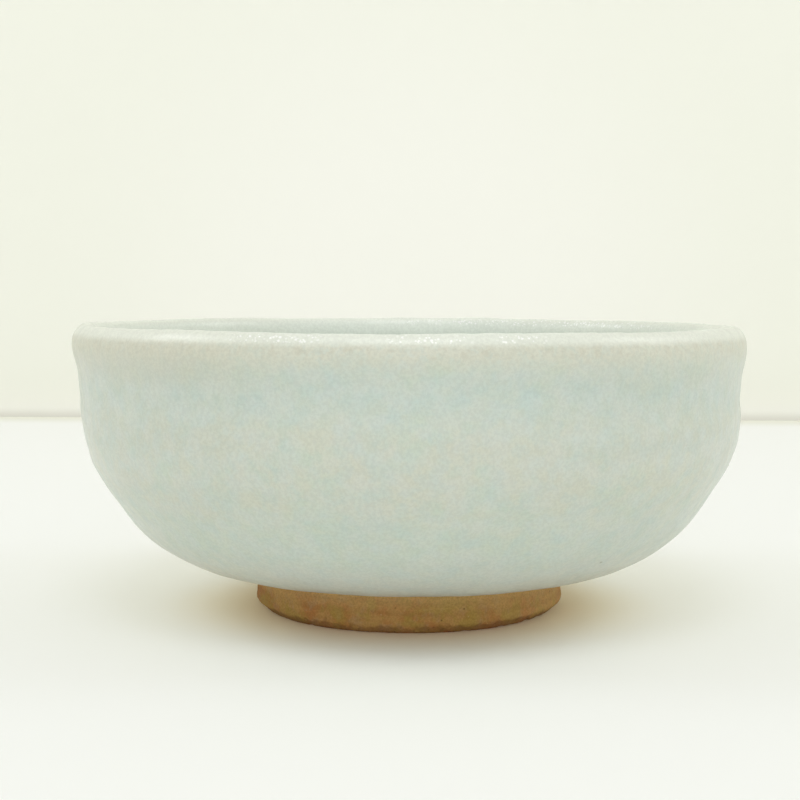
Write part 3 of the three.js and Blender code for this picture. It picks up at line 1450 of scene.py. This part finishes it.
@dataclass(frozen=True)
class Studio:
    """A pale table in front of a pale wall, in plain soft light. Sizes in metres."""

    half_width: float = 3.0
    table_front: float = -5.0
    table_back: float = 0.4767
    table_fade: float = 0.045
    wall_back: float = 0.482
    wall_foot: float = -0.3
    wall_top: float = 2.5
    wall_middle: float = 0.06
    wall_fade: Span = (0.05, 0.2)
    low_wall: Span = (0.0, 0.022)
    crease: Span = (-0.001, 0.005)
    table_colour: Colour = paint(244, 245, 240)
    table_foot_colour: Colour = paint(244, 236, 212)
    table_far_colour: Colour = paint(233, 233, 219)
    wall_colour: Colour = paint(248, 248, 240)
    wall_edge_colour: Colour = paint(244, 245, 234)
    wall_low_colour: Colour = paint(248, 248, 238)
    crease_colour: Colour = paint(227, 226, 211)
    paper_roughness: float = 0.95
    sky_level: float = 0.737
    seen_sky: Colour = paint(242, 243, 230)
    # Painted light seen only by the camera: a share of the sheets' colour that lifts their shadows; on the
    # table it is held low near the foot, and further out in front, as a painted contact shadow, and is whole
    # far off, where no lamp reaches.
    table_glow: Colour = (0.43, 0.39, 0.25)
    foot_glow: Colour = (0.03, 0.0, 0.0)
    glow_rise: Span = (0.015, 0.056)
    glow_depth: float = 0.4
    warm_reach: Span = (0.028, 0.056)
    out_of_light: Span = (0.6, 1.1)
    wall_out_of_light: Span = (0.45, 0.9)
    wall_glow: Colour = (0.07, 0.07, 0.07)

    def sheet(self, name: str, corners: Sequence[Sequence[float]], material: bpy.types.Material) -> None:
        """Sets up one flat sheet of the stage.

        Args:
            name: The sheet's name.
            corners: Its four corners in order.
            material: What it is made of.
        """
        mesh = bpy.data.meshes.new(name)
        mesh.from_pydata(corners, [], [(0, 1, 2, 3)])
        mesh.materials.append(material)
        sheet = bpy.data.objects.new(name, mesh)
        bpy.context.scene.collection.objects.link(sheet)

    def paper(self, name: str) -> FinishBench:
        """Starts a matt pale material without gloss."""
        return FinishBench(name, Roughness=self.paper_roughness, Specular_IOR_Level=0.0)

    @staticmethod
    def seen_by(bench: Bench) -> Socket:
        """Tells rays that show a thing from plain light.

        Args:
            bench: The bench of a material or of the world.

        Returns:
            1 for what the camera sees straight on, in a gloss or through glass, and 0 for plain light.
        """
        path = bench.add("ShaderNodeLightPath", {}).outputs
        seen = bench.math("MAXIMUM", path["Is Camera Ray"], path["Is Glossy Ray"])
        return bench.math("MAXIMUM", seen, path["Is Transmission Ray"])

    def lit(self, bench: FinishBench, shown: Value, glow: Value) -> bpy.types.Material:
        """Gives a matt sheet its colour, a share of which is seen even in shadow and lights nothing.

        Args:
            bench: The bench of the sheet's material.
            shown: Its colour.
            glow: The share that is seen in shadow.

        Returns:
            The material.
        """
        seen = self.seen_by(bench)
        rest = bench.mix(1.0, WHITE, glow, "SUBTRACT")
        return bench.finished(
            Base_Color=bench.mix(seen, shown, bench.mix(1.0, shown, rest, "MULTIPLY")),
            Emission_Color=bench.mix(1.0, shown, glow, "MULTIPLY"),
            Emission_Strength=seen,
        )

    def table_paper(self) -> bpy.types.Material:
        """The matt pale table, with painted shade along its far edge and a painted warm shadow round the
        foot.

        Returns:
            The material.
        """
        bench = self.paper("pale_table")
        # Painted shade along the far edge, by the wall.
        far = bench.spread(bench.parts(bench.place)["Y"], self.table_back - self.table_fade, self.table_back)
        squeezed = bench.vector("MULTIPLY", {0: bench.place, 1: (1.0, self.glow_depth, 0.0)})[0]
        near_foot = bench.vector("LENGTH", {0: squeezed})["Value"]
        away = bench.vector("LENGTH", {0: bench.place})["Value"]
        # Painted contact shadow: the glow held low near the foot, and further out in front.
        glow = bench.mix(bench.spread(near_foot, *self.glow_rise), self.foot_glow, self.table_glow)
        glow = bench.mix(bench.spread(away, *self.out_of_light), glow, WHITE)
        # Painted warm shade round the foot.
        near = bench.mix(bench.spread(away, *self.warm_reach), self.table_foot_colour, self.table_colour)
        return self.lit(bench, bench.mix(far, near, self.table_far_colour), glow)

    def wall_paper(self) -> bpy.types.Material:
        """The matt pale wall, with painted shade away from its middle and in the crease over the table.

        Returns:
            The material.
        """
        bench = self.paper("pale_wall")
        x, _, z = bench.parts(bench.place)
        away = bench.hypot(x, bench.math("SUBTRACT", z, self.wall_middle))
        # Painted shade away from the wall's middle.
        shown = bench.mix(bench.spread(away, *self.wall_fade), self.wall_colour, self.wall_edge_colour)
        shown = bench.mix(bench.spread(z, *self.low_wall), self.wall_low_colour, shown)
        # Painted shade in the crease over the table.
        shown = bench.mix(bench.spread(z, *self.crease), self.crease_colour, shown)
        glow = bench.mix(bench.spread(away, *self.wall_out_of_light), self.wall_glow, WHITE)
        return self.lit(bench, shown, glow)

    def build(self) -> None:
        """Sets up the table, the wall and the light from all round."""
        half, front, back = self.half_width, self.table_front, self.table_back
        corners = [(-half, front, 0), (half, front, 0), (half, back, 0), (-half, back, 0)]
        self.sheet("table", corners, self.table_paper())
        behind, low, top = self.wall_back, self.wall_foot, self.wall_top
        corners = [(-half, behind, low), (half, behind, low), (half, behind, top), (-half, behind, top)]
        self.sheet("wall", corners, self.wall_paper())
        world = bpy.data.worlds.new("soft_room")
        world.use_nodes = True
        world.node_tree.nodes.clear()
        bench = Bench(world.node_tree)
        light, seen = (
            bench.add("ShaderNodeBackground", {"Color": colour, "Strength": strength}).outputs[0]
            for colour, strength in ((WHITE, self.sky_level), (self.seen_sky, 1.0))
        )
        either = bench.add("ShaderNodeMixShader", {0: self.seen_by(bench), 1: light, 2: seen})
        bench.add("ShaderNodeOutputWorld", {"Surface": either.outputs[0]})
        bpy.context.scene.world = world
        LOG.info("table, wall and soft room set up")


@dataclass(frozen=True)
class SoftLamp:
    """One large soft lamp that is aimed at the bowl. Places in metres."""

    name: str
    place: tuple[float, float, float]
    width: float
    power: float
    aim: tuple[float, float, float] = (0.0, 0.0, 0.03)

    def build(self) -> None:
        """Hangs the lamp and turns it to its aim."""
        data = bpy.data.lights.new(self.name, "AREA")
        data.shape = "DISK"
        data.size = self.width
        data.energy = self.power
        lamp = bpy.data.objects.new(self.name, data)
        lamp.location = self.place
        toward = Vector(self.aim) - Vector(self.place)
        lamp.rotation_euler = toward.to_track_quat("-Z", "Y").to_euler()
        bpy.context.scene.collection.objects.link(lamp)
        LOG.info("%s hung at %s", self.name, self.place)


@dataclass(frozen=True)
class PhotoCamera:
    """The camera at the photograph's viewing angle. Place in metres, angles in degrees."""

    lens: float = 72.0
    sensor: float = 36.0
    nearest: float = 0.01
    place: tuple[float, float, float] = (0.0, -0.3392, 0.0675)
    down: float = 4.06
    left: float = 0.39
    lean: float = 0.245

    def build(self) -> None:
        """Sets up the camera and makes it the scene's own."""
        data = bpy.data.cameras.new("photo_camera")
        data.sensor_width = self.sensor
        data.lens = self.lens
        data.clip_start = self.nearest
        camera = bpy.data.objects.new("photo_camera", data)
        camera.location = self.place
        tilt = Euler((math.radians(90 - self.down), 0, math.radians(self.left))).to_matrix()
        roll = Euler((0, 0, math.radians(self.lean))).to_matrix()
        camera.rotation_euler = (tilt @ roll).to_euler()
        bpy.context.scene.collection.objects.link(camera)
        bpy.context.scene.camera = camera
        LOG.info("camera at %s", self.place)


def main() -> None:
    """Builds the bowl's pieces, the stage, the light and the camera."""
    logging.basicConfig(level=logging.INFO, format="%(name)s: %(message)s")
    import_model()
    section, hand = BowlSection(), PotterHand()
    ClayBody(section, hand).build()
    FootRing(section).build()
    OuterCoat(section, hand).build()
    InnerCoat(section, hand).build()
    Studio().build()
    for lamp in (
        SoftLamp("left_lamp", (-1.0, 0.1, 0.85), width=0.55, power=1.95),
        SoftLamp("right_lamp", (1.0, 0.1, 0.85), width=0.55, power=1.6),
        SoftLamp("low_right_lamp", (1.3, -0.2, 0.3), width=0.8, power=0.5),
        SoftLamp("front_lamp", (0.0, -0.6, 1.3), width=0.6, power=2.6),
        SoftLamp("low_front_lamp", (0.0, -1.2, 0.5), width=0.8, power=1.35),
    ):
        lamp.build()
    PhotoCamera().build()
    bpy.context.scene.view_settings.view_transform = "Standard"


if __name__ == "__main__":
    main()
